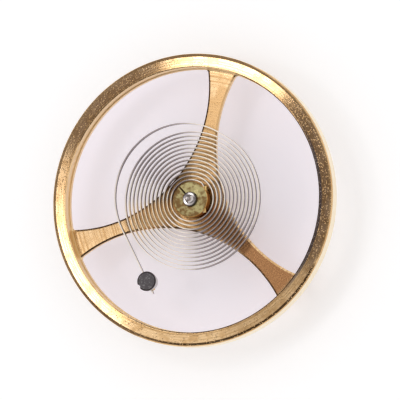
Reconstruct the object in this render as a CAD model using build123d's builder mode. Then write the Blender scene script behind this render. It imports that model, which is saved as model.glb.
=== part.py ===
from build123d import *
import os
from math import cos, dist, radians, sin, sqrt

os.makedirs("parts", exist_ok=True)

# A watch balance with its hairspring and stud, in millimetres.
# The staff stands on the Z axis with the tip of its lower pivot at the origin, hairspring side up.

# Fits shared by the whole assembly
press_fit = 0.003
cut_overrun = 0.2

# Staff, from the lower pivot's tip upwards
pivot_radius = 0.055
pivot_end_round = 0.02
lower_pivot_length = 0.20
lower_cone_height = 0.12
safety_seat_radius = 0.21
safety_seat_height = 0.66
table_seat_radius = 0.24
flange_root_radius = 0.30
flange_cone_height = 0.06
flange_radius = 0.50
flange_height = 0.16
balance_seat_radius = 0.36
rivet_radius = 0.42
rivet_height = 0.05
collet_seat_radius = 0.25
shoulder_stand = 0.10
shoulder_bevel = 0.03
upper_cone_radius = 0.16
upper_cone_height = 0.13
upper_pivot_length = 0.16

# Wheel
rim_radius = 5.0
rim_width = 0.485
rim_height = 0.54
rim_bevel_width = 0.115
rim_bevel_drop = 0.05
rim_edge_break = 0.03
arm_count = 3
arm_direction = 78.5
arm_thickness = 0.16
arm_rise = 0.02
arm_waist_distance = 3.05
arm_waist_width = 0.50
arm_root_width = 1.02
arm_edge_break = 0.015
hub_edge_radius = 1.03
window_ledge = 0.03
window_corner_radius = 0.12
poising_pit_radius = 0.12
poising_pit_depth = 0.08
poising_pit_angles = (152, 161)

# Rollers and impulse jewel
table_radius = 0.92
table_thickness = 0.16
table_edge_break = 0.03
jewel_direction = arm_direction
jewel_edge_distance = 0.20
jewel_radius = 0.14
jewel_flat_distance = 0.05
jewel_hang = 0.32
jewel_stand = 0.02
jewel_edge_break = 0.015
shellac_radius = 0.18
shellac_height = 0.04
safety_radius = 0.40
safety_thickness = 0.18
safety_bevel = 0.02
safety_boss_wall = 0.09
safety_boss_height = 0.34
crescent_radius = 0.12
crescent_outset = 0.03

# Collet
collet_radius = 0.61
collet_height = 0.33
collet_gap = 0.11
collet_bevel = 0.03
collet_slit_width = 0.06
collet_slit_direction = 133
collet_hole_depth = 0.14

# Hairspring
strip_thickness = 0.035
strip_height = 0.15
strip_rise = 0.19
spring_start_gap = 0.06
spring_start_angle = 60
spring_pitch = 0.1362
spring_half_turns = 26
opening_run = 0.33
outer_coil_widening = 0.04
outer_coil_sweep = 147.5
tail_end_length = 0.435
foot_length = 0.85

# The two pinned holes that hold the strip
pin_hole_radius = 0.09
strip_offset = 0.03
pin_taper_drop = 0.017
collet_pin_length = 0.90
stud_pin_length = 0.66

# Stud
stud_distance = 2.055
stud_seat_radius = 0.335
stud_seat_height = 0.15
stud_step = 0.02
stud_taper_drop = 0.025
stud_top_rise = 0.26
stud_depth = 0.16
stud_bevel = 0.03
stud_groove_radius = 0.06
stud_groove_direction = 214

# Places that follow from the sizes above
safety_seat_bottom = lower_pivot_length + lower_cone_height
table_bottom = safety_seat_bottom + safety_seat_height
table_top = table_bottom + table_thickness
flange_bottom = table_top + flange_cone_height
arm_bottom = flange_bottom + flange_height
arm_top = arm_bottom + arm_thickness
rim_bottom = arm_bottom - arm_rise
rim_top = rim_bottom + rim_height
rivet_top = arm_top + rivet_height
collet_bottom = rivet_top + collet_gap
collet_top = collet_bottom + collet_height
shoulder_top = collet_top + shoulder_stand
upper_cone_top = shoulder_top + upper_cone_height
staff_top = upper_cone_top + upper_pivot_length
strip_middle = collet_bottom + strip_rise
strip_bottom = strip_middle - strip_height / 2
jewel_distance = table_radius - jewel_edge_distance
safety_boss_radius = safety_seat_radius + safety_boss_wall
crescent_distance = safety_radius + crescent_outset
rim_inner_radius = rim_radius - rim_width
rim_middle_radius = (rim_inner_radius + rim_radius) / 2
window_radius = rim_inner_radius - window_ledge


def turned(radius, angle):
    """Point of the plan at a distance from the axis, the angle in degrees from +X."""
    return Vector(radius * cos(radians(angle)), radius * sin(radians(angle)))


def beside_arm(along, across):
    """Point of a window's plan, measured along the arm on its right and out from that arm's middle."""
    turn = -180 / arm_count
    return turned(along, turn) + turned(across, turn + 90)


# Wheel: the web is pierced with three windows that leave the arms, then the rim is turned round it.
# A window lies along +X. Its sides curve from the hub to the arms' waists and flare out towards the rim,
# and its outer edge leaves a narrow ledge inside the rim.
root_along = sqrt(window_radius**2 - (arm_root_width / 2) ** 2)
waist_point = beside_arm(arm_waist_distance, arm_waist_width / 2)
root_point = beside_arm(root_along, arm_root_width / 2)
root_angle = root_point.get_signed_angle(Vector(1, 0))

with BuildSketch() as window:
    with BuildLine():
        hub_side = TangentArc((hub_edge_radius, 0), waist_point, tangent=(0, -1))
        TangentArc(hub_side @ 1, root_point, tangent=hub_side % 1)
        CenterArc((0, 0), window_radius, -abs(root_angle), abs(root_angle))
        mirror(about=Plane.XZ)
    make_face()
    fillet(window.vertices().sort_by(Axis.Y)[0], window_corner_radius)
    fillet(window.vertices().sort_by(Axis.Y)[-1], window_corner_radius)

with BuildPart() as balance_wheel:
    with BuildSketch(Plane.XY.offset(arm_bottom)):
        Circle(rim_middle_radius)
        Circle(balance_seat_radius + press_fit, mode=Mode.SUBTRACT)
        with PolarLocations(0, arm_count, start_angle=arm_direction + 180 / arm_count):
            add(window.sketch, mode=Mode.SUBTRACT)
    extrude(amount=arm_thickness)
    web_faces = balance_wheel.faces().filter_by(Axis.Z).sort_by(Axis.Z)
    chamfer([wire.edges() for wire in web_faces[-1].inner_wires()], arm_edge_break)
    with BuildSketch(Plane.XZ):
        with BuildLine():
            Polyline(
                (rim_inner_radius, rim_bottom + rim_edge_break),
                (rim_inner_radius + rim_edge_break, rim_bottom),
                (rim_radius - rim_edge_break, rim_bottom),
                (rim_radius, rim_bottom + rim_edge_break),
                (rim_radius, rim_top - rim_bevel_drop),
                (rim_radius - rim_bevel_width, rim_top),
                (rim_inner_radius + rim_edge_break, rim_top),
                (rim_inner_radius, rim_top - rim_edge_break),
                close=True,
            )
        make_face()
    revolve(axis=Axis.Z)
    for angle in poising_pit_angles:
        with Locations(turned(rim_middle_radius, angle) + Vector(0, 0, rim_bottom)):
            Cone(
                poising_pit_radius,
                0,
                poising_pit_depth,
                align=(Align.CENTER, Align.CENTER, Align.MIN),
                mode=Mode.SUBTRACT,
            )
balance_wheel.part.label = "balance_wheel"

# Staff: one turned piece, its pivots run into the shoulders in hollow cones
with BuildPart() as balance_staff:
    with BuildSketch(Plane.XZ):
        with BuildLine():
            Line((0, 0), (pivot_radius - pivot_end_round, 0))
            TangentArc(
                (pivot_radius - pivot_end_round, 0),
                (pivot_radius, pivot_end_round),
                tangent=(1, 0),
            )
            Line((pivot_radius, pivot_end_round), (pivot_radius, lower_pivot_length))
            TangentArc(
                (pivot_radius, lower_pivot_length),
                (safety_seat_radius, safety_seat_bottom),
                tangent=(0, 1),
            )
            Polyline(
                (safety_seat_radius, safety_seat_bottom),
                (safety_seat_radius, table_bottom),
                (table_seat_radius, table_bottom),
                (table_seat_radius, table_top),
                (flange_root_radius, table_top),
                (flange_radius, flange_bottom),
                (flange_radius, arm_bottom),
                (balance_seat_radius, arm_bottom),
                (balance_seat_radius, arm_top),
                (rivet_radius, arm_top),
                (balance_seat_radius, rivet_top),
                (collet_seat_radius, rivet_top),
                (collet_seat_radius, shoulder_top - shoulder_bevel),
                (collet_seat_radius - shoulder_bevel, shoulder_top),
                (upper_cone_radius, shoulder_top),
            )
            TangentArc(
                (pivot_radius, upper_cone_top),
                (upper_cone_radius, shoulder_top),
                tangent=(0, -1),
            )
            Line((pivot_radius, upper_cone_top), (pivot_radius, staff_top - pivot_end_round))
            TangentArc(
                (pivot_radius, staff_top - pivot_end_round),
                (pivot_radius - pivot_end_round, staff_top),
                tangent=(0, 1),
            )
            Line((pivot_radius - pivot_end_round, staff_top), (0, staff_top))
            Line((0, staff_top), (0, 0))
        make_face()
    revolve(axis=Axis.Z)
balance_staff.part.label = "balance_staff"

# Roller table: a disc on the staff under the flange, with a half-round hole for the impulse jewel.
# The jewel's flat faces outwards, so its plan is a circle cut on the far side from the staff.
jewel_plane = Plane(
    origin=turned(jewel_distance, jewel_direction),
    x_dir=turned(table_radius, jewel_direction),
    z_dir=(0, 0, 1),
)


def jewel_plan(height, gap):
    """Half-round outline of the impulse jewel at a height, larger all round by the gap."""
    with BuildSketch(jewel_plane.offset(height)) as outline:
        Circle(jewel_radius + gap)
        with Locations((jewel_flat_distance + gap, 0)):
            Rectangle(
                jewel_radius,
                (jewel_radius + cut_overrun) * 2,
                align=(Align.MIN, Align.CENTER),
                mode=Mode.SUBTRACT,
            )
    return outline.sketch


with BuildPart() as roller_table:
    with BuildSketch(Plane.XY.offset(table_bottom)):
        Circle(table_radius)
        Circle(table_seat_radius + press_fit, mode=Mode.SUBTRACT)
    extrude(amount=table_thickness)
    table_edges = roller_table.edges().filter_by(GeomType.CIRCLE).sort_by(SortBy.RADIUS)
    chamfer(table_edges[-2:], table_edge_break)
    extrude(
        jewel_plan(table_bottom - cut_overrun, press_fit),
        amount=table_thickness + cut_overrun * 2,
        mode=Mode.SUBTRACT,
    )
roller_table.part.label = "roller_table"

# Impulse jewel: stands a little proud of the table and hangs down to the fork
with BuildPart() as impulse_jewel:
    extrude(
        jewel_plan(table_bottom - jewel_hang, 0),
        amount=jewel_hang + table_thickness + jewel_stand,
    )
    chamfer(impulse_jewel.faces().sort_by(Axis.Z)[0].edges(), jewel_edge_break)
impulse_jewel.part.label = "impulse_jewel"

# Shellac: a low drop on the table round the jewel's upper end
with BuildPart() as jewel_shellac:
    with BuildSketch(jewel_plane.offset(table_top)):
        Circle(shellac_radius)
    with BuildSketch(jewel_plane.offset(table_top + shellac_height)):
        Circle(jewel_radius)
    loft()
    extrude(
        jewel_plan(table_top - cut_overrun, 0),
        amount=jewel_stand + cut_overrun,
        mode=Mode.SUBTRACT,
    )
jewel_shellac.part.label = "jewel_shellac"

# Safety roller: a small disc with a boss that reaches up to the table, and a crescent below the jewel
with BuildPart() as safety_roller:
    with BuildSketch(Plane.XY.offset(table_bottom - safety_boss_height - safety_thickness)):
        Circle(safety_radius)
        with PolarLocations(crescent_distance, 1, start_angle=jewel_direction):
            Circle(crescent_radius, mode=Mode.SUBTRACT)
    extrude(amount=safety_thickness)
    chamfer(safety_roller.faces().sort_by(Axis.Z)[0].edges(), safety_bevel)
    with BuildSketch(Plane.XY.offset(table_bottom - safety_boss_height)):
        Circle(safety_boss_radius)
    extrude(amount=safety_boss_height)
    with BuildSketch(Plane.XY.offset(table_bottom + cut_overrun)):
        Circle(safety_seat_radius + press_fit)
    extrude(amount=-safety_boss_height - safety_thickness - cut_overrun * 2, mode=Mode.SUBTRACT)
safety_roller.part.label = "safety_roller"

# Hairspring: a flat strip that stands on edge. Its foot runs straight through the collet's hole, an inlet
# bend meets the spiral, half turns about two centres grow by half a pitch each, a short straight run lets
# the outer coil swing wide, and the straight tail passes through the stud.
collet_hole_distance = collet_radius - collet_hole_depth
strip_middle_x = collet_hole_distance - strip_offset
spring_start_radius = collet_radius + spring_start_gap
spiral_start = turned(spring_start_radius, spring_start_angle)
inlet_radius = (strip_middle_x - spiral_start.X) / (1 - cos(radians(spring_start_angle)))
inlet_bottom = spiral_start.Y - inlet_radius * sin(radians(spring_start_angle))
first_turn_radius = spring_start_radius + spring_pitch / 4
last_turn_radius = first_turn_radius + (spring_half_turns - 1) * spring_pitch / 2
outer_coil_radius = last_turn_radius + outer_coil_widening
tail_length = stud_distance + tail_end_length


def spring_side(shift):
    """Runs of the strip from foot to tail, moved outwards from its middle by the shift."""
    foot_x = strip_middle_x + shift
    foot = Line((foot_x, inlet_bottom - foot_length), (foot_x, inlet_bottom))
    runs = [foot, JernArc(foot @ 1, foot % 1, inlet_radius + shift, spring_start_angle)]
    for half_turn in range(spring_half_turns):
        radius = first_turn_radius + half_turn * spring_pitch / 2 + shift
        runs.append(JernArc(runs[-1] @ 1, runs[-1] % 1, radius, 180))
    runs.append(Line(runs[-1] @ 1, runs[-1] @ 1 + (runs[-1] % 1) * opening_run))
    runs.append(JernArc(runs[-1] @ 1, runs[-1] % 1, outer_coil_radius + shift, outer_coil_sweep))
    runs.append(Line(runs[-1] @ 1, runs[-1] @ 1 + (runs[-1] % 1) * tail_length))
    return runs


with BuildPart() as hairspring:
    with BuildSketch(Plane.XY.offset(strip_bottom)):
        with BuildLine():
            inside = spring_side(-strip_thickness / 2)
            outside = spring_side(strip_thickness / 2)
            Line(inside[0] @ 0, outside[0] @ 0)
            Line(inside[-1] @ 1, outside[-1] @ 1)
        make_face()
    extrude(amount=strip_height)
hairspring.part.label = "hairspring"

# The least gap of the strip to itself, measured between points of runs that aren't neighbours
with BuildLine() as spring_line:
    spring_runs = spring_side(0)
points_a_run = 60
run_points = []
for run in spring_runs:
    places = [run @ (index / points_a_run) for index in range(points_a_run + 1)]
    run_points.append([(place.X, place.Y) for place in places])
least_distance = min(
    dist(here, there)
    for index, run in enumerate(run_points)
    for other in run_points[index + 2 :]
    for here in run
    for there in other
)
print(f"hairspring: {spring_half_turns / 2:g} turns and the outer coil")
print(f"hairspring: least gap to itself {least_distance - strip_thickness:.4f} mm")

# The two pinned holes. Each lies along the strip, and its taper pin is flat where it bears on the strip.
tail_direction = spring_runs[-1] % 0
tail_inward = Vector(-tail_direction.Y, tail_direction.X)
tail_at_stud = spring_runs[-1] @ 0 + tail_direction * stud_distance
stud_centre = tail_at_stud + tail_inward * strip_offset
lift = Vector(0, 0, strip_middle)
collet_hole_plane = Plane(origin=Vector(collet_hole_distance, 0) + lift, z_dir=(0, 1, 0))
stud_hole_plane = Plane(origin=stud_centre + lift, z_dir=tail_direction)
collet_pin_face = Plane(
    origin=Vector(strip_middle_x + strip_thickness / 2, 0) + lift,
    z_dir=(1, 0, 0),
)
stud_pin_face = Plane(origin=tail_at_stud + tail_inward * strip_thickness / 2 + lift, z_dir=tail_inward)


pin_thick_radius = pin_hole_radius - press_fit
pin_thin_radius = pin_thick_radius - pin_taper_drop


def pin_hole(hole_plane, reach):
    """Cut a round hole for the strip and its pin, the reach to each side of the plane."""
    with BuildSketch(hole_plane.offset(-reach)) as mouth:
        Circle(pin_hole_radius)
    extrude(mouth.sketch, amount=reach * 2, mode=Mode.SUBTRACT)


def taper_pin(hole_plane, face_plane, length):
    """A round taper pin about the hole's middle, cut flat where it bears on the strip."""
    with BuildSketch(hole_plane.offset(-length / 2)) as thin_end:
        Circle(pin_thin_radius)
    with BuildSketch(hole_plane.offset(length / 2)) as thick_end:
        Circle(pin_thick_radius)
    loft([thin_end.sketch.face(), thick_end.sketch.face()])
    split(bisect_by=face_plane, keep=Keep.TOP)


# Collet: a ring sprung on the staff by its slit, with the pinned hole across its wall
with BuildPart() as collet:
    with BuildSketch(Plane.XY.offset(collet_bottom)):
        Circle(collet_radius)
        Circle(collet_seat_radius + press_fit, mode=Mode.SUBTRACT)
    extrude(amount=collet_height)
    collet_edges = collet.edges().filter_by(GeomType.CIRCLE).sort_by(SortBy.RADIUS)
    chamfer(collet_edges[-2:], collet_bevel)
    with BuildSketch(Plane.XY.offset(collet_bottom - cut_overrun)):
        with PolarLocations(collet_seat_radius, 1, start_angle=collet_slit_direction):
            Rectangle(
                collet_radius - collet_seat_radius + cut_overrun,
                collet_slit_width,
                align=(Align.MIN, Align.CENTER),
            )
    extrude(amount=collet_height + cut_overrun * 2, mode=Mode.SUBTRACT)
    pin_hole(collet_hole_plane, collet_radius)
collet.part.label = "collet"

with BuildPart() as collet_pin:
    taper_pin(collet_hole_plane, collet_pin_face, collet_pin_length)
collet_pin.part.label = "collet_pin"

# Stud: a round post, straight at its seat and tapered a little below it, with a groove down one side
# and the pinned hole through the tapered part
stud_bottom = strip_middle - stud_depth
stud_top = strip_middle + stud_top_rise
stud_neck_radius = stud_seat_radius - stud_step

with BuildPart() as stud:
    with BuildSketch(Plane.XY.offset(stud_bottom)):
        with Locations(stud_centre):
            Circle(stud_neck_radius - stud_taper_drop)
    with BuildSketch(Plane.XY.offset(stud_top - stud_seat_height)):
        with Locations(stud_centre):
            Circle(stud_neck_radius)
    loft()
    with BuildSketch(Plane.XY.offset(stud_top - stud_seat_height)):
        with Locations(stud_centre):
            Circle(stud_seat_radius)
    extrude(amount=stud_seat_height)
    chamfer(stud.edges().sort_by(Axis.Z)[-1], stud_bevel)
    with BuildSketch(Plane.XY.offset(stud_bottom - cut_overrun)):
        with Locations(stud_centre + turned(stud_seat_radius, stud_groove_direction)):
            Circle(stud_groove_radius)
    extrude(amount=stud_top - stud_bottom + cut_overrun * 2, mode=Mode.SUBTRACT)
    pin_hole(stud_hole_plane, stud_seat_radius)
stud.part.label = "stud"

with BuildPart() as stud_pin:
    taper_pin(stud_hole_plane, stud_pin_face, stud_pin_length)
stud_pin.part.label = "stud_pin"

print(f"stud: centre {stud_centre.X:.4f}, {stud_centre.Y:.4f} mm")
print(f"heights: rim top {rim_top:.3f}, staff top {staff_top:.3f}, strip middle {strip_middle:.3f} mm")

for piece in (
    balance_wheel,
    balance_staff,
    roller_table,
    impulse_jewel,
    jewel_shellac,
    safety_roller,
    hairspring,
    collet,
    collet_pin,
    stud,
    stud_pin,
):
    export_step(piece.part, f"parts/{piece.part.label}.step")
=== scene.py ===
from functools import partial
from math import acos, atan2, cos, degrees, hypot, pi, radians, sin, sqrt, tan

import bpy
import numpy as np
from mathutils import Matrix, Vector


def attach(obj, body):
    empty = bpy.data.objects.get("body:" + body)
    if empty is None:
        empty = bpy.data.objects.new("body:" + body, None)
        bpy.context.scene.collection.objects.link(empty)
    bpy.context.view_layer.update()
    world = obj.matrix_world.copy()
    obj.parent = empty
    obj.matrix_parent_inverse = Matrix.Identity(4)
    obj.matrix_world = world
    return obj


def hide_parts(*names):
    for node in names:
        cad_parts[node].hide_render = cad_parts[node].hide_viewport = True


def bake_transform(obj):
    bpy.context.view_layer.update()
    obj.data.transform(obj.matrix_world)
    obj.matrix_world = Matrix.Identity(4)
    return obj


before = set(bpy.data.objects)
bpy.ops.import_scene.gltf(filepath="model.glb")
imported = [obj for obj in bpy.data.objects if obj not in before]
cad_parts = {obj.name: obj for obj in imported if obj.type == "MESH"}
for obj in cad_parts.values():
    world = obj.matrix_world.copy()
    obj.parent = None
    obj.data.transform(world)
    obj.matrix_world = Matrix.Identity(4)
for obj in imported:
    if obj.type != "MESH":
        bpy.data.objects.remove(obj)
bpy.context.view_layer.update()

# Balance wheel. Turned from one bar of beryllium copper, its web pierced into three slim arms, then
# gilt. The rim is bevelled outside, slopes outwards a little and keeps the lathe's rings. The bore is
# riveted on the staff, and two pits drilled under the rim bring the wheel into poise.

# Every piece is drawn in millimetres and brought to metres when it is finished
mm = 0.001
merge_gap = 0.0002
rim_radius = 5.0
rim_inner_radius = 4.515
rim_middle_radius = (rim_inner_radius + rim_radius) / 2
rim_top = 1.88
rim_bottom = 1.34
rim_bevel_width = 0.115
rim_bevel_drop = 0.05
rim_edge_break = 0.03
rim_inner_break = 0.04
rim_inner_drop = 0.02
rim_shoulder = 0.05
rim_shoulder_shape = ((0, 0.8), (0.08, 0.45), (0.3, 0.12), (0.75, -0.19))
rim_slope_drop = 0.022
rim_steps = 360
edge_rounding = 0.008
arm_count = 3
arm_direction = 78.5
arm_top = 1.52
arm_thickness = 0.16
arm_waist_distance = 3.05
arm_waist_width = 0.50
arm_root_width = 1.02
arm_edge_break = 0.06
arm_edge_drop = 0.024
hub_edge_radius = 1.03
window_radius = 4.485
window_corner_radius = 0.12
ledge_tolerance = 0.001
seat_radius = 0.36
pit_radius = 0.12
pit_depth = 0.08
pit_tool_share = 1.25
pit_angles = (152, 161)


def start_piece():
    """One vertex at the origin, in edit mode, with nothing else selected."""
    bpy.ops.mesh.primitive_plane_add(size=1)
    bpy.ops.object.mode_set(mode="EDIT")
    bpy.ops.mesh.merge(type="CENTER")


def draw(points):
    """Moves the one vertex to the first point and draws edges on from there."""
    bpy.ops.transform.translate(value=points[0])
    for here, there in zip(points, points[1:]):
        step = Vector(there) - Vector(here)
        bpy.ops.mesh.extrude_vertices_move(TRANSFORM_OT_translate={"value": step})


def close_up(name):
    """Merges doubles, turns the faces outwards and leaves edit mode."""
    bpy.ops.mesh.select_all(action="SELECT")
    bpy.ops.mesh.remove_doubles(threshold=merge_gap)
    bpy.ops.mesh.normals_make_consistent(inside=False)
    bpy.ops.object.mode_set(mode="OBJECT")
    piece = bpy.context.active_object
    piece.name = piece.data.name = name
    return piece


def turn(name, section, steps=128, rounding=0):
    """Turns a section, given as (radius, height) points, round the staff's axis."""
    start_piece()
    draw([(radius, 0, height) for radius, height in section])
    bpy.ops.mesh.select_all(action="SELECT")
    bpy.ops.mesh.remove_doubles(threshold=merge_gap)
    if rounding:
        bpy.ops.mesh.bevel(offset=rounding, segments=2, affect="VERTICES")
        bpy.ops.mesh.select_all(action="SELECT")
    bpy.ops.mesh.spin(steps=steps, angle=2 * pi, center=(0, 0, 0), axis=(0, 0, 1))
    return close_up(name)


def edit_all():
    """Enters edit mode with everything selected."""
    bpy.ops.object.mode_set(mode="EDIT")
    bpy.ops.mesh.select_all(action="SELECT")


def pick(piece):
    """Makes a piece the active one and the only one selected."""
    bpy.ops.object.select_all(action="DESELECT")
    piece.select_set(True)
    bpy.context.view_layer.objects.active = piece


def cut(piece, tool, operation="DIFFERENCE"):
    """Cuts the piece with a tool, or joins the tool to it, and clears the tool away."""
    pick(piece)
    change = piece.modifiers.new("cut", "BOOLEAN")
    change.operation = operation
    change.solver = "EXACT"
    change.object = tool
    bpy.ops.object.modifier_apply(modifier=change.name)
    bpy.data.objects.remove(tool)


def finish_piece(piece, node, body, material, smooth_angle=30, flat_faces=True):
    """Brings a piece to metres, shades it, and lets it stand for a CAD node on the node's body."""
    pick(piece)
    bpy.ops.object.shade_smooth_by_angle(angle=radians(smooth_angle))
    if flat_faces:
        evening = piece.modifiers.new("evening", "WEIGHTED_NORMAL")
        evening.keep_sharp = True
        evening.weight = 100
        bpy.ops.object.modifier_apply(modifier=evening.name)
    piece.scale = (mm, mm, mm)
    bpy.ops.object.transform_apply(location=True, rotation=True, scale=True)
    piece.data.materials.clear()
    piece.data.materials.append(material)
    if body:
        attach(piece, body)
    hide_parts(node)


def polar(radius, angle):
    """A place of the plan, given by its distance from the axis and its angle."""
    return Vector((radius * cos(radians(angle)), radius * sin(radians(angle)), 0))


def tangent_centre(start, tangent, end):
    """Centre of the arc that leaves the start along the tangent and reaches the end."""
    normal = Vector((-tangent.y, tangent.x, 0))
    chord = end - start
    return start + normal * chord.length_squared / (2 * chord.dot(normal))


def swept(centre, start, end):
    """Degrees turned left about a centre on the way from the start to the end."""
    a, b = start - centre, end - centre
    return degrees(atan2(b.y, b.x) - atan2(a.y, a.x)) % 360


def meeting(first, first_radius, second, second_radius, near):
    """The point nearest to a place where two circles of the plan meet."""
    line = second - first
    along = (line.length_squared + first_radius**2 - second_radius**2) / (2 * line.length)
    across = sqrt(first_radius**2 - along**2)
    middle = first + line.normalized() * along
    side = Vector((-line.y, line.x, 0)).normalized() * across
    return min(middle + side, middle - side, key=lambda place: (place - near).length)


axis_point = Vector((0, 0, 0))
half_gap = 180 / arm_count
hub_point = Vector((hub_edge_radius, 0, 0))
waist_point = polar(arm_waist_distance, -half_gap) + polar(arm_waist_width / 2, 90 - half_gap)
root_along = sqrt(window_radius**2 - (arm_root_width / 2) ** 2)
root_point = polar(root_along, -half_gap) + polar(arm_root_width / 2, 90 - half_gap)
hub_centre = tangent_centre(hub_point, Vector((0, -1, 0)), waist_point)
waist_spoke = waist_point - hub_centre
waist_tangent = Vector((-waist_spoke.y, waist_spoke.x, 0)).normalized()
flare_centre = tangent_centre(waist_point, waist_tangent, root_point)
flare_radius = (waist_point - flare_centre).length
corner_centre = meeting(
    axis_point,
    window_radius - window_corner_radius,
    flare_centre,
    flare_radius - window_corner_radius,
    root_point,
)
corner_start = flare_centre + (corner_centre - flare_centre).normalized() * flare_radius
corner_end = corner_centre.normalized() * window_radius
hub_sweep = swept(hub_centre, hub_point, waist_point)
flare_sweep = swept(flare_centre, waist_point, corner_start)
corner_sweep = swept(corner_centre, corner_start, corner_end)
rim_sweep = swept(axis_point, corner_end, Vector((corner_end.x, -corner_end.y, 0)))
flipped = [Vector((place.x, -place.y, 0)) for place in (corner_centre, flare_centre, hub_centre)]
window_arcs = [
    (hub_centre, hub_sweep, 24),
    (flare_centre, flare_sweep, 24),
    (corner_centre, corner_sweep, 8),
    (axis_point, rim_sweep, 48),
    (flipped[0], corner_sweep, 8),
    (flipped[1], flare_sweep, 24),
    (flipped[2], hub_sweep, 24),
]

# The web's plan: the bore, the windows and an outer edge that lies buried in the rim
start_piece()
bpy.ops.mesh.delete(type="VERT")
for window in range(arm_count):
    direction = arm_direction + half_gap + window * 360 / arm_count
    bearing = Matrix.Rotation(radians(direction), 3, "Z")
    bpy.ops.mesh.primitive_plane_add(size=1)
    bpy.ops.mesh.merge(type="CENTER")
    bpy.ops.transform.translate(value=bearing @ hub_point)
    for centre, sweep, steps in window_arcs:
        bpy.ops.mesh.spin(
            steps=steps, angle=-radians(sweep), center=bearing @ centre, axis=(0, 0, 1)
        )
    bpy.ops.mesh.select_all(action="DESELECT")
bpy.ops.mesh.primitive_circle_add(vertices=96, radius=seat_radius)
bpy.ops.mesh.primitive_circle_add(vertices=rim_steps, radius=rim_middle_radius)
bpy.ops.mesh.select_all(action="SELECT")
bpy.ops.mesh.remove_doubles(threshold=merge_gap)
bpy.ops.mesh.fill()
bpy.ops.mesh.select_all(action="SELECT")
bpy.ops.transform.translate(value=(0, 0, arm_top - arm_edge_drop))
bpy.ops.mesh.extrude_region_move(
    TRANSFORM_OT_translate={"value": (0, 0, arm_edge_drop - arm_thickness)}
)
web = close_up("web")

# The windows' upper edges are bevelled at a low slope, which gives the arms their thin outline, dark on
# one side and pale on the other. The narrow ledge under the rim stays flat.
bpy.ops.object.mode_set(mode="EDIT")
bpy.ops.mesh.select_mode(type="FACE")
bpy.ops.mesh.select_all(action="DESELECT")
bpy.ops.object.mode_set(mode="OBJECT")
for face in web.data.polygons:
    face.select = face.normal.z > 0.5
bpy.ops.object.mode_set(mode="EDIT")
bpy.ops.mesh.inset(thickness=arm_edge_break, depth=arm_edge_drop)
bpy.ops.mesh.select_mode(type="VERT")
bpy.ops.object.mode_set(mode="OBJECT")
for vertex in web.data.vertices:
    above = vertex.co.z > arm_top - arm_thickness / 2
    if above and hypot(*vertex.co.xy) > window_radius - ledge_tolerance:
        vertex.co.z = arm_top

rim_section = [
    (rim_inner_radius, rim_bottom + rim_edge_break),
    (rim_inner_radius + rim_edge_break, rim_bottom),
    (rim_radius - rim_edge_break, rim_bottom),
    (rim_radius, rim_bottom + rim_edge_break),
    *[
        (rim_radius - rim_shoulder * inward, rim_top - rim_bevel_drop - rim_shoulder * down)
        for inward, down in rim_shoulder_shape
    ],
    (rim_radius - rim_bevel_width, rim_top - rim_slope_drop),
    (rim_inner_radius + rim_inner_break, rim_top),
    (rim_inner_radius, rim_top - rim_inner_drop),
]
wheel = turn("rim_and_arms", rim_section + rim_section[:1], rim_steps, edge_rounding)
cut(wheel, web, "UNION")
for angle in pit_angles:
    reach = pit_depth * pit_tool_share
    place = polar(rim_middle_radius, angle)
    bpy.ops.mesh.primitive_cone_add(
        vertices=48,
        radius1=pit_radius * pit_tool_share,
        radius2=0,
        depth=reach,
        location=place + Vector((0, 0, rim_bottom + pit_depth - reach / 2)),
    )
    cut(wheel, bpy.context.active_object)


def paint(colour):
    """An sRGB hex colour as the linear one that a shader takes."""
    parts = [int(colour[start : start + 2], 16) / 255 for start in (0, 2, 4)]
    return [p / 12.92 if p <= 0.04045 else ((p + 0.055) / 1.055) ** 2.4 for p in parts] + [1]


def add_node(tree, kind, inputs=(), out=0, **settings):
    """Adds a node with its settings and links, and gives back one of its outputs."""
    node = tree.nodes.new("ShaderNode" + kind)
    for name, value in settings.items():
        setattr(node, name, value)
    for socket, value in dict(inputs).items():
        if isinstance(value, bpy.types.NodeSocket):
            tree.links.new(value, node.inputs[socket])
        else:
            node.inputs[socket].default_value = value
    return node.outputs[out] if node.outputs else node


def empty_tree(owner):
    """Empties the tree of a material or the world, and gives back what adds a node to it."""
    owner.use_nodes = True
    owner.node_tree.nodes.clear()
    return partial(add_node, owner.node_tree)


def start_finish(name):
    """A new material, what adds a node to it, and the place on the piece in millimetres."""
    finish = bpy.data.materials.new(name)
    add = empty_tree(finish)
    spot = add("TexCoord", out="Object")
    return finish, add, add("VectorMath", {0: spot, "Scale": 1 / mm}, operation="SCALE")


def plan_radius(add, place):
    """The place laid flat on the plan, and its distance from the staff's axis."""
    flat = add("VectorMath", {0: place, 1: (1, 1, 0)}, operation="MULTIPLY")
    return flat, add("VectorMath", {0: flat}, out="Value", operation="LENGTH")


# Gilt beryllium copper, faced on the lathe: rings run over rim and arms alike, so each part of the
# wheel shines along its own radius, and a grain sparkles outside the two bright fans. Painted shade
# darkens the colour along the rings, makes one arm coppery, deepens another arm and the web towards
# the hub, and lies in a band on one side of the rim's inner edge. The walls are painted paler as a
# painted highlight, and patches of deeper tone lie at random. Real rings and grain are finer: they are
# drawn as coarse as they need to show.
gilt_colour = paint("EFCA9A")
gilt_deep_colour = paint("CCA26E")
# painted shade: one arm's level faces are given this darker, coppery colour
arm_shade_colour = paint("DEA470")
# painted highlight: the walls are painted paler, the outer wall palest
wall_sheen_colour = paint("F6D9AA")
outer_wall_sheen_colour = paint("FFF2D8")
# painted shade: a dark grey band on one side of the rim's inner edge
edge_shade_colour = paint("8A7C74")
ring_pitch = 0.033
bold_ring_pitch = 0.08
bold_ring_share = 1.4
ring_drift = 2.5
ring_depth = 0.0007
grain_spacing = 0.06
grain_depth = 0.003
patch_size = 0.385
rim_look_start = 4.3
rim_look_full = 4.5
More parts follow.
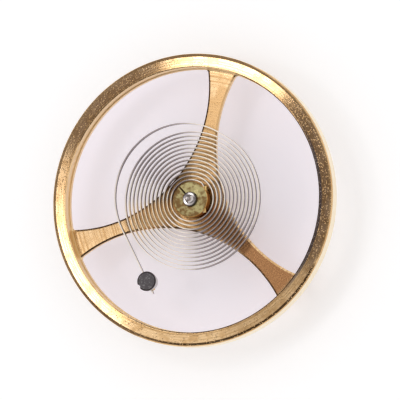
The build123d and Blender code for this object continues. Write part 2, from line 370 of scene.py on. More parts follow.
# painted shade: one arm and the web are deepened towards the hub, where the spring and collet shade
# them
arm_shade_full = 3.2
arm_shade_end = 4.1
hub_shade_full = 0.9
hub_shade_end = 1.7
fan_directions = (73, 207)
hub_shade_arm_direction = arm_direction
darker_arm_direction = arm_direction + 240
shaded_edge_direction = -5
shaded_edge_width = 0.11
ledge_margin = 0.05
soft = {"interpolation_type": "SMOOTHSTEP"}
tints = {"out": 2, "data_type": "RGBA"}

gilt, add, place = start_finish("turned_gilt_alloy")
flat, radius = plan_radius(add, place)
round_place = add("VectorMath", {0: flat}, operation="NORMALIZE")
ring_number = add("Math", {0: radius, 1: 1 / ring_pitch}, operation="MULTIPLY")
ring_place = add("CombineXYZ", {"Z": ring_number})
fine_place = add(
    "VectorMath",
    {0: round_place, 1: (ring_drift, ring_drift, 0), 2: ring_place},
    operation="MULTIPLY_ADD",
)
fine_rings = add("TexNoise", {"Vector": fine_place, "Scale": 1.0, "Detail": 1.0})
bold_rings = add(
    "TexNoise", {"W": radius, "Scale": 1 / bold_ring_pitch, "Detail": 0.0}, noise_dimensions="1D"
)
ring_height = add(
    "Math", {0: bold_rings, 1: bold_ring_share, 2: fine_rings}, operation="MULTIPLY_ADD"
)
turned = add("Bump", {"Height": ring_height, "Distance": ring_depth * mm})
grain = add("TexVoronoi", {"Vector": place, "Scale": 1 / grain_spacing})
patches = add("TexNoise", {"Vector": place, "Scale": 1 / patch_size, "Detail": 4.0})
facing = {
    direction: add(
        "VectorMath", {0: round_place, 1: polar(1, direction)}, out="Value", operation="DOT_PRODUCT"
    )
    for direction in (
        *fan_directions, darker_arm_direction, hub_shade_arm_direction, shaded_edge_direction
    )
}
nearer_fan = add(
    "Math", {0: facing[fan_directions[0]], 1: facing[fan_directions[1]]}, operation="MAXIMUM"
)

# Soft borders, each given by what it reads, where it starts and ends, and its share at either end
near_grain, inside_rim, in_fan, on_darker_arm, inner_reach, ring_shade, web_hub_shade, shaded_side = [
    add(
        "MapRange",
        {"Value": value, "From Min": start, "From Max": end, "To Min": first, "To Max": last},
        **soft,
    )
    for value, start, end, first, last in (
        (grain, 0.14, 0.36, 1, 0),
        (radius, rim_look_start, rim_look_full, 1, 0),
        (nearer_fan, 0.78, 0.93, 0, 1),
        (facing[darker_arm_direction], 0.80, 0.97, 0, 1),
        (radius, arm_shade_full, arm_shade_end, 1, 0),
        # painted shade along the lathe's rings
        (ring_height, 1.1, 1.5, 0, 0.9),
        (radius, hub_shade_full, hub_shade_end, 0.95, 0),
        (facing[shaded_edge_direction], 0.74, 0.92, 0, 1),
    )
]
has_grain = add("Math", {0: grain.node.outputs["Color"], 1: 0.3}, operation="GREATER_THAN")
all_grain = add("Math", {0: near_grain, 1: has_grain}, operation="MULTIPLY")
quiet = add("Math", {0: in_fan, 1: inside_rim}, operation="MAXIMUM")
grain_share = add("MapRange", {"Value": quiet, "To Min": 1.0, "To Max": 0.16})
grained = add("Math", {0: all_grain, 1: grain_share}, operation="MULTIPLY")
relief = add("Bump", {"Height": grained, "Distance": grain_depth * mm, "Normal": turned})
upright = add(
    "Math",
    {0: add("SeparateXYZ", {0: add("TexCoord", out="Normal")}, out="Z")},
    operation="ABSOLUTE",
)
level = add("MapRange", {"Value": upright, "From Min": 0.965, "From Max": 0.985})
on_face = add("Math", {0: inside_rim, 1: level}, operation="MULTIPLY")
# painted shade on one arm's level faces
darker_arm_shade = add("Math", {0: on_darker_arm, 1: on_face}, operation="MULTIPLY")
# painted shade on one arm towards the hub, mixed with random patches of deeper tone
on_hub_shade_arm = add(
    "MapRange",
    {"Value": facing[hub_shade_arm_direction], "From Min": 0.85, "From Max": 0.95, "To Max": 0.9},
)
arm_hub_shade = add("Math", {0: on_hub_shade_arm, 1: inner_reach}, operation="MULTIPLY")
patches_and_shade = add(
    "MapRange",
    {
        "Value": add("Math", {0: arm_hub_shade, 1: 0.3, 2: patches}, operation="MULTIPLY_ADD"),
        "From Min": 0.42,
        "From Max": 0.66,
        "To Max": 0.8,
    },
    **soft,
)
# painted shade on the web about the hub
patches_and_shade = add("Math", {0: patches_and_shade, 1: web_hub_shade}, operation="MAXIMUM")
dark_share = add("Math", {0: patches_and_shade, 1: ring_shade}, operation="MAXIMUM")
pored = add("Math", {0: grained, 1: 0.35}, operation="MULTIPLY")
# painted shade in a band on one side of the rim's inner edge
near_edge = add(
    "Math", {0: radius, 1: rim_inner_radius, 2: shaded_edge_width}, operation="COMPARE"
)
painted_edge_shade = add("Math", {0: shaded_side, 1: near_edge}, operation="MULTIPLY")
steep = add(
    "MapRange", {"Value": upright, "From Min": 0.2, "From Max": 0.5, "To Min": 1.0, "To Max": 0.0}
)
on_ledge = add(
    "Math",
    {0: radius, 1: (window_radius + rim_inner_radius) / 2, 2: rim_inner_radius - window_radius},
    operation="COMPARE",
)
below_face = add(
    "Math",
    {0: add("SeparateXYZ", {0: place}, out="Z"), 1: arm_top + ledge_margin},
    operation="LESS_THAN",
)
ledge = add("Math", {0: on_ledge, 1: below_face}, operation="MULTIPLY")
on_wall = add("Math", {0: steep, 1: ledge}, operation="MAXIMUM")
# painted highlight on the walls
outside = add("Math", {0: radius, 1: rim_radius - rim_bevel_width}, operation="GREATER_THAN")
wall_sheen = add("Mix", {0: outside, 6: wall_sheen_colour, 7: outer_wall_sheen_colour}, **tints)
colour = gilt_colour
for share, tone in (
    (dark_share, gilt_deep_colour),
    (darker_arm_shade, arm_shade_colour),
    (pored, gilt_deep_colour),
    (painted_edge_shade, edge_shade_colour),
    (on_wall, wall_sheen),
):
    colour = add("Mix", {0: share, 6: colour, 7: tone}, **tints)
face_roughness = add("MapRange", {"Value": inside_rim, "To Min": 0.13, "To Max": 0.27})
bevelled = add("Mix", {0: level, 2: 0.12, 3: face_roughness})
walled = add("Mix", {0: on_wall, 2: bevelled, 3: 0.36})
roughness = add("Math", {0: grained, 1: 0.4, 2: walled}, operation="MULTIPLY_ADD")
shader = add(
    "BsdfPrincipled",
    {
        "Base Color": colour,
        "Metallic": 1.0,
        "Roughness": roughness,
        "Anisotropic": 0.85,
        "Tangent": round_place,
        "Normal": relief,
    },
)
add("OutputMaterial", {"Surface": shader})

finish_piece(wheel, "balance_wheel", "balance", gilt, 20)

# Balance staff. One piece of hardened steel turned between centres: two fine pivots run out of hollow
# cones, and seats of rising size carry the rollers, the wheel and the collet.
pivot_radius = 0.055
pivot_end_round = 0.02
lower_pivot_length = 0.20
safety_seat_radius = 0.21
safety_seat_bottom = 0.32
table_bottom = 0.98
table_seat_radius = 0.24
table_top = 1.14
flange_root_radius = 0.30
flange_radius = 0.50
flange_bottom = 1.20
arm_bottom = arm_top - arm_thickness
rivet_radius = 0.42
rivet_top = 1.57
rivet_lip_width = 0.012
rivet_lip_height = 0.022
rivet_slope_width = 0.02
rivet_slope_drop = 0.004
rivet_flat_width = 0.05
collet_seat_radius = 0.25
shoulder_radius = 0.16
shoulder_height = 2.11
shoulder_bevel = 0.03
upper_cone_top = 2.24
staff_top = 2.40


def hollow_cone(pivot_end, shoulder, steps=8):
    """Points of the arc by which a pivot runs out to its shoulder."""
    width = shoulder[0] - pivot_end[0]
    rise = shoulder[1] - pivot_end[1]
    sweep_radius = (width**2 + rise**2) / (2 * width)
    turned = acos(1 - width / sweep_radius)
    way = 1 if rise > 0 else -1
    shares = [turned * step / steps for step in range(steps + 1)]
    return [
        (
            pivot_end[0] + sweep_radius * (1 - cos(share)),
            pivot_end[1] + way * sweep_radius * sin(share),
        )
        for share in shares
    ]


def rounded_tip(end, way, steps=4):
    """Points of a pivot's rounded tip, from the axis outwards."""
    turns = [pi / 2 * step / steps for step in range(steps + 1)]
    return [(0, end)] + [
        (pivot_radius - pivot_end_round * (1 - sin(t)), end + way * pivot_end_round * (1 - cos(t)))
        for t in turns
    ]


staff_section = (
    rounded_tip(0, 1)
    + hollow_cone((pivot_radius, lower_pivot_length), (safety_seat_radius, safety_seat_bottom))
    + [
        (safety_seat_radius, table_bottom),
        (table_seat_radius, table_bottom),
        (table_seat_radius, table_top),
        (flange_root_radius, table_top),
        (flange_radius, flange_bottom),
        (flange_radius, arm_bottom),
        (seat_radius, arm_bottom),
        (seat_radius, arm_top),
        (rivet_radius, arm_top),
        (rivet_radius - rivet_lip_width, arm_top + rivet_lip_height),
        (seat_radius - rivet_slope_width, rivet_top - rivet_slope_drop),
        (seat_radius - rivet_flat_width, rivet_top),
        (collet_seat_radius, rivet_top),
        (collet_seat_radius, shoulder_height - shoulder_bevel),
        (collet_seat_radius - shoulder_bevel * 0.3, shoulder_height - shoulder_bevel * 0.3),
        (collet_seat_radius - shoulder_bevel, shoulder_height),
    ]
    + hollow_cone((pivot_radius, upper_cone_top), (shoulder_radius, shoulder_height))[::-1]
    + rounded_tip(staff_top, -1)[::-1]
)
staff = turn("staff", staff_section, 96)


def turned_marks(add, place, pitch, detail=1.0):
    """Rings on a turned piece's faces and sides alike, with the piece's radius and height."""
    radius = plan_radius(add, place)[1]
    height = add("SeparateXYZ", {0: place}, out="Z")
    along = add("Math", {0: radius, 1: height}, operation="ADD")
    marks = add(
        "TexNoise", {"W": along, "Scale": 1 / pitch, "Detail": detail}, noise_dimensions="1D"
    )
    return marks, radius, height


# Hardened steel, turned and burnished: bright, with a light haze, faint rings from the burnisher that
# are drawn coarser than real ones so that they show, and painted shade in a ring round the upper
# shoulder
steel_colour = paint("C6BFBD")
shoulder_shade_colour = paint("4A423E")
burnish_pitch = 0.02
burnish_depth = 0.0012
haze_size = 0.167
steel, add, place = start_finish("burnished_steel")
burnish, radius, height = turned_marks(add, place, burnish_pitch)
haze = add("TexNoise", {"Vector": place, "Scale": 1 / haze_size, "Detail": 3.0})
relief = add("Bump", {"Height": burnish, "Distance": burnish_depth * mm})
roughness = add(
    "MapRange", {"Value": haze, "From Min": 0.35, "From Max": 0.70, "To Min": 0.10, "To Max": 0.24}
)
# painted shade in a ring round the upper shoulder's bevel
at_shoulder = add(
    "MapRange",
    {
        "Value": radius,
        "From Min": collet_seat_radius - shoulder_bevel * 2.2,
        "From Max": collet_seat_radius,
    },
    **soft,
)
at_top = add("Math", {0: height, 1: shoulder_height - shoulder_bevel * 2}, operation="GREATER_THAN")
shoulder_shade = add("Math", {0: at_shoulder, 1: at_top}, operation="MULTIPLY")
colour = add("Mix", {0: shoulder_shade, 6: steel_colour, 7: shoulder_shade_colour}, **tints)
shader = add(
    "BsdfPrincipled",
    {"Base Color": colour, "Metallic": 1.0, "Roughness": roughness, "Normal": relief},
)
add("OutputMaterial", {"Surface": shader})

finish_piece(staff, "balance_staff", "balance", steel)

# Roller table. A turned brass disc pressed on the staff under the wheel, with a half-round hole near
# its edge for the impulse jewel.
table_radius = 0.92
table_edge_break = 0.03
jewel_distance = 0.72
jewel_radius = 0.14
jewel_flat_distance = 0.05
jewel_hang = 0.32
jewel_stand = 0.02
press_fit = 0.003
cutter_reach = 0.1


def half_round(name, gap, bottom, top):
    """The impulse jewel's half-round bar between two heights, larger all round by the gap."""
    bpy.ops.mesh.primitive_cylinder_add(
        vertices=64,
        radius=jewel_radius + gap,
        depth=top - bottom,
        location=polar(jewel_distance, arm_direction) + Vector((0, 0, (top + bottom) / 2)),
    )
    bpy.ops.object.transform_apply(location=True)
    edit_all()
    bpy.ops.mesh.bisect(
        plane_co=polar(jewel_distance + jewel_flat_distance + gap, arm_direction),
        plane_no=polar(1, arm_direction),
        use_fill=True,
        clear_outer=True,
        threshold=merge_gap / 2,
    )
    return close_up(name)


table_section = [
    (table_seat_radius + press_fit, table_bottom),
    (table_radius - table_edge_break, table_bottom),
    (table_radius, table_bottom + table_edge_break),
    (table_radius, table_top - table_edge_break),
    (table_radius - table_edge_break, table_top),
    (table_seat_radius + press_fit, table_top),
]
roller = turn("roller_disc", table_section + table_section[:1], 160, edge_rounding)
hole_bottom, hole_top = table_bottom - cutter_reach, table_top + cutter_reach
cut(roller, half_round("jewel_hole", press_fit, hole_bottom, hole_top))

# Turned brass: warm yellow, dulled in patches by air, with rings from the lathe that are drawn coarser
# than the real ones so that they show
brass_colour = paint("DDB468")
dull_brass_colour = paint("B98E4C")
lathe_pitch = 0.025
lathe_depth = 0.0016
dulling_size = 0.333
roller_brass, add, place = start_finish("turned_brass")
lathe_rings = turned_marks(add, place, lathe_pitch)[0]
dulling = add("TexNoise", {"Vector": place, "Scale": 1 / dulling_size, "Detail": 4.0})
dulled = add("MapRange", {"Value": dulling, "From Min": 0.40, "From Max": 0.70}, **soft)
colour = add("Mix", {0: dulled, 6: brass_colour, 7: dull_brass_colour}, **tints)
relief = add("Bump", {"Height": lathe_rings, "Distance": lathe_depth * mm})
roughness = add(
    "MapRange",
    {"Value": dulling, "From Min": 0.35, "From Max": 0.70, "To Min": 0.22, "To Max": 0.38},
)
shader = add(
    "BsdfPrincipled",
    {"Base Color": colour, "Metallic": 1.0, "Roughness": roughness, "Normal": relief},
)
add("OutputMaterial", {"Surface": shader})

finish_piece(roller, "roller_table", "balance", roller_brass)

# Impulse jewel. A half-round bar of synthetic ruby, ground and polished all over, that stands through
# the table and drops into the pallet fork's slot.
jewel_edge_break = 0.012


def break_edges(width):
    """Rounds every edge of the active piece a little."""
    edit_all()
    bpy.ops.mesh.bevel(offset=width, segments=2, affect="EDGES", clamp_overlap=True)
    bpy.ops.object.mode_set(mode="OBJECT")


jewel = half_round("jewel_pin", 0, table_bottom - jewel_hang, table_top + jewel_stand)
break_edges(jewel_edge_break)

# Synthetic ruby, polished: a clear deep red that lights up at its edges, faintly clouded as it grew
ruby_colour = paint("CC1640")
deep_ruby_colour = paint("8E0A2A")
cloud_size = 0.111
ruby, add, place = start_finish("polished_ruby")
clouding = add("TexNoise", {"Vector": place, "Scale": 1 / cloud_size, "Detail": 2.0})
colour = add("Mix", {0: clouding, 6: ruby_colour, 7: deep_ruby_colour}, **tints)
shader = add(
    "BsdfPrincipled",
    {"Base Color": colour, "Roughness": 0.03, "IOR": 1.77, "Transmission Weight": 0.6},
)
add("OutputMaterial", {"Surface": shader})

finish_piece(jewel, "impulse_jewel", "balance", ruby)

# Shellac. A drop melted over the jewel's upper end, which holds it in its hole.
shellac_radius = 0.18
shellac_height = 0.04
drop_shape = ((1, 0), (0.95, 0.35), (0.82, 0.70), (0.60, 0.92), (0.30, 1), (0, 1))
drop_waviness = 0.04
drop_section = [(0, table_top)] + [
    (shellac_radius * out, table_top + shellac_height * up) for out, up in drop_shape
]
drop = turn("shellac_drop", drop_section, 64)
for vertex in drop.data.vertices:
    swing = atan2(vertex.co.y, vertex.co.x)
    vertex.co.xy *= 1 - drop_waviness * (1 + sin(3 * swing + 1) * cos(2 * swing))
drop.location = polar(jewel_distance, arm_direction)
bpy.ops.object.transform_apply(location=True)
cut(drop, half_round("jewel_end", 0, table_top - cutter_reach, table_top + jewel_stand))
bpy.ops.object.mode_set(mode="EDIT")
drop = close_up("shellac_drop")

# Shellac, melted and set: a glossy amber-brown resin, a little clear, with small flow ripples
amber_colour = paint("8A4316")
deep_amber_colour = paint("4A1E08")
ripple_size = 0.0714
ripple_depth = 0.004
resin, add, place = start_finish("set_shellac")
ripple = add("TexNoise", {"Vector": place, "Scale": 1 / ripple_size, "Detail": 2.0})
colour = add("Mix", {0: ripple, 6: amber_colour, 7: deep_amber_colour}, **tints)
relief = add("Bump", {"Height": ripple, "Distance": ripple_depth * mm})
shader = add(
    "BsdfPrincipled",
    {
        "Base Color": colour,
        "Roughness": 0.12,
        "IOR": 1.52,
        "Transmission Weight": 0.3,
        "Normal": relief,
    },
)
add("OutputMaterial", {"Surface": shader})

finish_piece(drop, "jewel_shellac", "balance", resin)

# Safety roller. A small turned brass roller pressed on below the table. Its boss keeps the distance,
# and a crescent in its edge lets the guard pin through as the jewel passes the fork.
safety_radius = 0.40
safety_bottom = 0.46
safety_top = 0.64
safety_boss_radius = 0.30
safety_bevel = 0.02
crescent_radius = 0.12
crescent_distance = 0.43
safety_thickness = safety_top - safety_bottom
safety_section = [
    (safety_seat_radius + press_fit, safety_bottom),
    (safety_radius - safety_bevel, safety_bottom),
    (safety_radius, safety_bottom + safety_bevel),
    (safety_radius, safety_top),
    (safety_boss_radius, safety_top),
    (safety_boss_radius, table_bottom),
    (safety_seat_radius + press_fit, table_bottom),
]
guard = turn("guard_roller", safety_section + safety_section[:1], 128, edge_rounding)
crescent_place = polar(crescent_distance, arm_direction)
crescent_place.z = safety_bottom + safety_thickness / 4
bpy.ops.mesh.primitive_cylinder_add(
    vertices=48, radius=crescent_radius, depth=safety_thickness * 1.5, location=crescent_place
)
cut(guard, bpy.context.active_object)

finish_piece(guard, "safety_roller", "balance", roller_brass)

# Collet. A small turned brass ring, slit so that it springs on the staff, with a hole drilled across
# its wall for the hairspring's inner end and its pin. Handling and oil have turned it olive.
collet_radius = 0.61
collet_bottom = 1.68
collet_top = 2.01
collet_bevel = 0.03
slit_width = 0.06
slit_direction = 133
hole_distance = 0.47
hole_radius = 0.09
strip_middle = 1.87
collet_section = [
    (collet_seat_radius + press_fit, collet_bottom),
    (collet_radius - collet_bevel, collet_bottom),
    (collet_radius, collet_bottom + collet_bevel),
    (collet_radius, collet_top - collet_bevel),
    (collet_radius - collet_bevel, collet_top),
    (collet_seat_radius + press_fit, collet_top),
]


def drill(piece, place, bearing, reach):
    """Drills the round hole for the strip and its pin through a piece, along a bearing."""
    bpy.ops.mesh.primitive_cylinder_add(
        vertices=64,
        radius=hole_radius,
        depth=reach * 2,
        location=place,
        rotation=(pi / 2, 0, radians(bearing + 90)),
    )
    cut(piece, bpy.context.active_object)


collet = turn("collet_ring", collet_section + collet_section[:1], 160, edge_rounding)
slit_place = polar(collet_radius, slit_direction)
slit_place.z = collet_top
bpy.ops.mesh.primitive_cube_add(size=1, location=slit_place)
slit = bpy.context.active_object
slit.rotation_euler.z = radians(slit_direction)
slit.scale = (collet_radius * 2 - collet_seat_radius, slit_width, 1)
cut(collet, slit)
drill(collet, (hole_distance, 0, strip_middle), 90, collet_radius)

# Brass gone olive under old oil: brown stains, a side wall painted warmer and brighter as a painted
# highlight, and rings from the lathe that are drawn coarser than real ones so that they show
olive_colour = paint("BAAE7C")
stain_colour = paint("8A6C44")
lit_side_colour = paint("E2A254")
collet_ring_depth = 0.003
stain_size = 0.3125
lit_side_start = 0.02
lit_side_full = 0.005
olive, add, place = start_finish("tarnished_collet_brass")
collet_rings, radius = turned_marks(add, place, ring_pitch, 2.0)[:2]
stains = add(
    "TexNoise", {"Vector": place, "Scale": 1 / stain_size, "Detail": 5.0, "Roughness": 0.65}
)
stained = add("MapRange", {"Value": stains, "From Min": 0.44, "From Max": 0.57}, **soft)
# painted highlight: the side wall is given a warmer, brighter brass colour
side = add(
    "MapRange",
    {
        "Value": radius,
        "From Min": collet_radius - lit_side_start,
        "From Max": collet_radius - lit_side_full,
    },
)
colour = olive_colour
for share, tone in ((stained, stain_colour), (side, lit_side_colour)):
    colour = add("Mix", {0: share, 6: colour, 7: tone}, **tints)
relief = add("Bump", {"Height": collet_rings, "Distance": collet_ring_depth * mm})
roughness = add(
    "MapRange",
    {"Value": stains, "From Min": 0.35, "From Max": 0.65, "To Min": 0.26, "To Max": 0.48},
)
shader = add(
    "BsdfPrincipled",
    {"Base Color": colour, "Metallic": 1.0, "Roughness": roughness, "Normal": relief},
)
add("OutputMaterial", {"Surface": shader})

finish_piece(collet, "collet", "balance", olive)

# Hairspring. A strip of nickel-iron alloy, drawn and rolled flat, wound on edge into a flat spiral and
# set by heat. Its foot is pinned in the collet, and its straight tail runs through the stud. It is made
# here as it is bent: the strip's end is swung round one centre after another.
strip_thickness = 0.035
strip_height = 0.15
strip_corner = 0.006
strip_offset = 0.03
spring_start_gap = 0.06
spring_start_angle = 60
spring_pitch = 0.1362
spring_half_turns = 26
opening_run = 0.33
outer_coil_widening = 0.04
outer_coil_sweep = 147.5
stud_distance = 2.055
tail_end_length = 0.435
foot_length = 0.85
steps_a_half_turn = 48

foot_x = hole_distance - strip_offset
spiral_start = polar(collet_radius + spring_start_gap, spring_start_angle)
inlet_radius = (foot_x - spiral_start.x) / (1 - cos(radians(spring_start_angle)))
inlet_bottom = spiral_start.y - inlet_radius * sin(radians(spring_start_angle))
first_turn_radius = collet_radius + spring_start_gap + spring_pitch / 4
last_turn_radius = first_turn_radius + (spring_half_turns - 1) * spring_pitch / 2
outer_coil_radius = last_turn_radius + outer_coil_widening

tip = Vector((foot_x, inlet_bottom - foot_length, strip_middle))
heading = Vector((0, 1, 0))
bpy.ops.mesh.primitive_plane_add(size=1, location=tip, rotation=(pi / 2, 0, 0))
bpy.context.active_object.scale = (strip_thickness, strip_height, 1)
bpy.ops.object.transform_apply(location=True, rotation=True, scale=True)
edit_all()
bpy.ops.mesh.bevel(offset=strip_corner, segments=3, affect="VERTICES")
bpy.ops.mesh.select_mode(type="FACE")
bpy.ops.mesh.select_all(action="SELECT")


def run_on(place, course, length):
    """Draws the strip's end straight on, and gives back where it has come to."""
    bpy.ops.mesh.extrude_region_move(TRANSFORM_OT_translate={"value": course * length})
    return place + course * length


def swing_on(place, course, radius, sweep, steps):
    """Swings the strip's end to the left round its next centre, and gives back place and course."""
    centre = place + Vector((-course.y, course.x, 0)) * radius
    bpy.ops.mesh.spin(steps=steps, angle=-radians(sweep), center=centre, axis=(0, 0, 1))
    turn_left = Matrix.Rotation(radians(sweep), 3, "Z")
    return centre + turn_left @ (place - centre), turn_left @ course


tip = run_on(tip, heading, foot_length)
tip, heading = swing_on(tip, heading, inlet_radius, spring_start_angle, 16)
for half_turn in range(spring_half_turns):
    radius_now = first_turn_radius + half_turn * spring_pitch / 2
    tip, heading = swing_on(tip, heading, radius_now, 180, steps_a_half_turn)
tip = run_on(tip, heading, opening_run)
tip, heading = swing_on(tip, heading, outer_coil_radius, outer_coil_sweep, 40)
tail_start = tip
run_on(tip, heading, stud_distance + tail_end_length)
bpy.ops.mesh.select_mode(type="VERT")
strip = close_up("spring_strip")

# Rolled nickel-iron alloy: the strip's upper edge is left matt and painted a pale cream as a painted
# highlight, which stands out over the arms, and its sides are painted dark grey as painted shade, a
# little paler at random. Over one arm, sides and edge are painted straw-coloured as a painted
# reflection of the gilt below, and on two opposite stretches the edge is painted brown as painted
# shade. The rolling lines are drawn coarser than real ones.
edge_highlight_colour = paint("FAF0E4")
side_shade_colour = paint("6C6466")
pale_side_colour = paint("7C7476")
straw_reflection_colour = paint("D6BE9E")
straw_edge_reflection_colour = paint("F6E2C4")
straw_direction = 200
brown_shade_colour = paint("94868A")
brown_shade_direction = 126
dressed_depth = 0.035
rolling_pitch = 0.02
rolling_depth = 0.0006
tint_size = 1.11
strip_alloy, add, place = start_finish("rolled_spring_alloy")
height = add("SeparateXYZ", {0: place}, out="Z")
rolling = add(
    "TexNoise", {"W": height, "Scale": 1 / rolling_pitch, "Detail": 1.0}, noise_dimensions="1D"
)
tint = add("TexNoise", {"Vector": place, "Scale": 1 / tint_size, "Detail": 2.0})
flat, radius = plan_radius(add, place)
round_place = add("VectorMath", {0: flat}, operation="NORMALIZE")
strip_top = strip_middle + strip_height / 2
on_edge = add(
    "MapRange",
    {
        "Value": height,
        "From Min": strip_top - dressed_depth * 1.2,
        "From Max": strip_top - dressed_depth * 0.8,
    },
)
straw_side, brown_shade_facing = [
    add(
        "VectorMath", {0: round_place, 1: polar(1, direction)}, out="Value", operation="DOT_PRODUCT"
    )
    for direction in (straw_direction, brown_shade_direction)
]
# painted reflection of the gilt arm below, on one side within the coils
straw_reflection = add("MapRange", {"Value": straw_side, "From Min": 0.92, "From Max": 0.985}, **soft)
within_coils = add(
    "MapRange",
    {
        "Value": radius,
        "From Min": last_turn_radius - spring_pitch,
        "From Max": last_turn_radius,
        "To Min": 1.0,
        "To Max": 0.0,
    },
)
straw_reflection = add("Math", {0: straw_reflection, 1: within_coils}, operation="MULTIPLY")
# painted shade on two opposite stretches of the upper edge
brown_shade = add(
    "MapRange",
    {
        "Value": add("Math", {0: brown_shade_facing}, operation="ABSOLUTE"),
        "From Min": 0.74,
        "From Max": 0.96,
        "To Max": 0.8,
    },
    **soft,
)
# painted shade on the sides and painted highlight on the upper edge
painted_side_shade, painted_edge_highlight = side_shade_colour, edge_highlight_colour
for share, tone in ((tint, pale_side_colour), (straw_reflection, straw_reflection_colour)):
    painted_side_shade = add("Mix", {0: share, 6: painted_side_shade, 7: tone}, **tints)
for share, tone in ((straw_reflection, straw_edge_reflection_colour), (brown_shade, brown_shade_colour)):
    painted_edge_highlight = add("Mix", {0: share, 6: painted_edge_highlight, 7: tone}, **tints)
colour = add("Mix", {0: on_edge, 6: painted_side_shade, 7: painted_edge_highlight}, **tints)
relief = add("Bump", {"Height": rolling, "Distance": rolling_depth * mm})
metallic = add("MapRange", {"Value": on_edge, "To Min": 1.0, "To Max": 0.5})
roughness = add("MapRange", {"Value": on_edge, "To Min": 0.28, "To Max": 0.32})
shader = add(
    "BsdfPrincipled",
    {
        "Base Color": colour,
        "Metallic": metallic,
        "Roughness": roughness,
        "Anisotropic": 0.8,
        "Tangent": round_place,
        "Normal": relief,
    },
)
add("OutputMaterial", {"Surface": shader})

finish_piece(strip, "hairspring", None, strip_alloy, 50, False)

# The place where the tail meets the stud is found, the strip's placing is baked into its mesh, and
# each of its points is read on the plan, with its distance from the staff's axis.
tail_at_stud = tail_start + heading * stud_distance
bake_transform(strip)
on_plan = np.array([vertex.co.xy for vertex in strip.data.vertices]) / mm
reach = np.hypot(on_plan[:, 0], on_plan[:, 1])

# Taper pins. Two drawn brass pins, pushed in beside the strip at the collet and at the stud, cut off
# short and flattened where they bear on it.
pin_thick_radius = hole_radius - press_fit
pin_thin_radius = 0.070
pin_edge_break = 0.006
collet_pin_length = 0.90
stud_pin_length = 0.66


def taper_pin(name, middle, bearing, length, flat_place, flat_side):
    """A taper pin along a bearing of the plan, flattened where it bears on the strip."""
    bpy.ops.mesh.primitive_cone_add(
        vertices=48,
        radius1=pin_thin_radius,
        radius2=pin_thick_radius,
        depth=length,
        location=middle,
        rotation=(-pi / 2, 0, radians(bearing - 90)),
    )
    bpy.ops.object.transform_apply(location=True, rotation=True)
    edit_all()
    bpy.ops.mesh.bisect(
        plane_co=flat_place,
        plane_no=flat_side,
        use_fill=True,
        clear_inner=True,
        threshold=merge_gap / 2,
    )
    pin = close_up(name)
    break_edges(pin_edge_break)
    return pin


# Drawn brass wire: bright yellow, with drawing marks drawn coarser than real ones so that they show
pin_colour = paint("F0D294")
dull_pin_colour = paint("C9A35C")
drawing_size = 0.0556
drawing_depth = 0.002
pin_brass, add, place = start_finish("drawn_pin_brass")
drawing = add("TexNoise", {"Vector": place, "Scale": 1 / drawing_size, "Detail": 2.0})
colour = add("Mix", {0: drawing, 6: pin_colour, 7: dull_pin_colour}, **tints)
relief = add("Bump", {"Height": drawing, "Distance": drawing_depth * mm})
shader = add(
    "BsdfPrincipled", {"Base Color": colour, "Metallic": 1.0, "Roughness": 0.2, "Normal": relief}
)
add("OutputMaterial", {"Surface": shader})

collet_pin = taper_pin(
    "collet_taper_pin",
    (hole_distance, 0, strip_middle),
    90,
    collet_pin_length,
    (foot_x + strip_thickness / 2, 0, strip_middle),
    (1, 0, 0),
)
finish_piece(collet_pin, "collet_pin", "balance", pin_brass)

tail_inward = Vector((-heading.y, heading.x, 0))
stud_place = tail_at_stud + tail_inward * strip_offset
tail_bearing = degrees(atan2(heading.y, heading.x))
stud_pin = taper_pin(
    "stud_taper_pin",
    stud_place,
    tail_bearing,
    stud_pin_length,
    tail_at_stud + tail_inward * strip_thickness / 2,
    tail_inward,
)
finish_piece(stud_pin, "stud_pin", "stud", pin_brass)

# Stud. A round steel post turned on the lathe: a straight seat for the stud holder above, a slight
# taper below, a groove down one side for the holder's screw, and the hole for the strip and its pin.
stud_seat_radius = 0.335
stud_neck_radius = 0.315
stud_foot_radius = 0.29
stud_bottom = 1.71
stud_seat_bottom = 1.98
stud_top = 2.13
stud_bevel = 0.03
groove_radius = 0.09
groove_outset = 0.035
groove_direction = 214
stud_section = [
    (0, stud_bottom),
    (stud_foot_radius - stud_bevel / 2, stud_bottom),
    (stud_foot_radius, stud_bottom + stud_bevel / 2),
    (stud_neck_radius, stud_seat_bottom),
    (stud_seat_radius, stud_seat_bottom),
    (stud_seat_radius, stud_top - stud_bevel),
    (stud_seat_radius - stud_bevel * 0.3, stud_top - stud_bevel * 0.3),
    (stud_seat_radius - stud_bevel, stud_top),
    (0, stud_top),
]
stud = turn("stud_post", stud_section, 128)
stud.location = (stud_place.x, stud_place.y, 0)
bpy.ops.object.transform_apply(location=True)
groove_place = stud_place + polar(stud_seat_radius + groove_outset, groove_direction)
bpy.ops.mesh.primitive_cylinder_add(
    vertices=32, radius=groove_radius, depth=2, location=groove_place
)
cut(stud, bpy.context.active_object)
drill(stud, stud_place, tail_bearing, stud_seat_radius * 1.5)

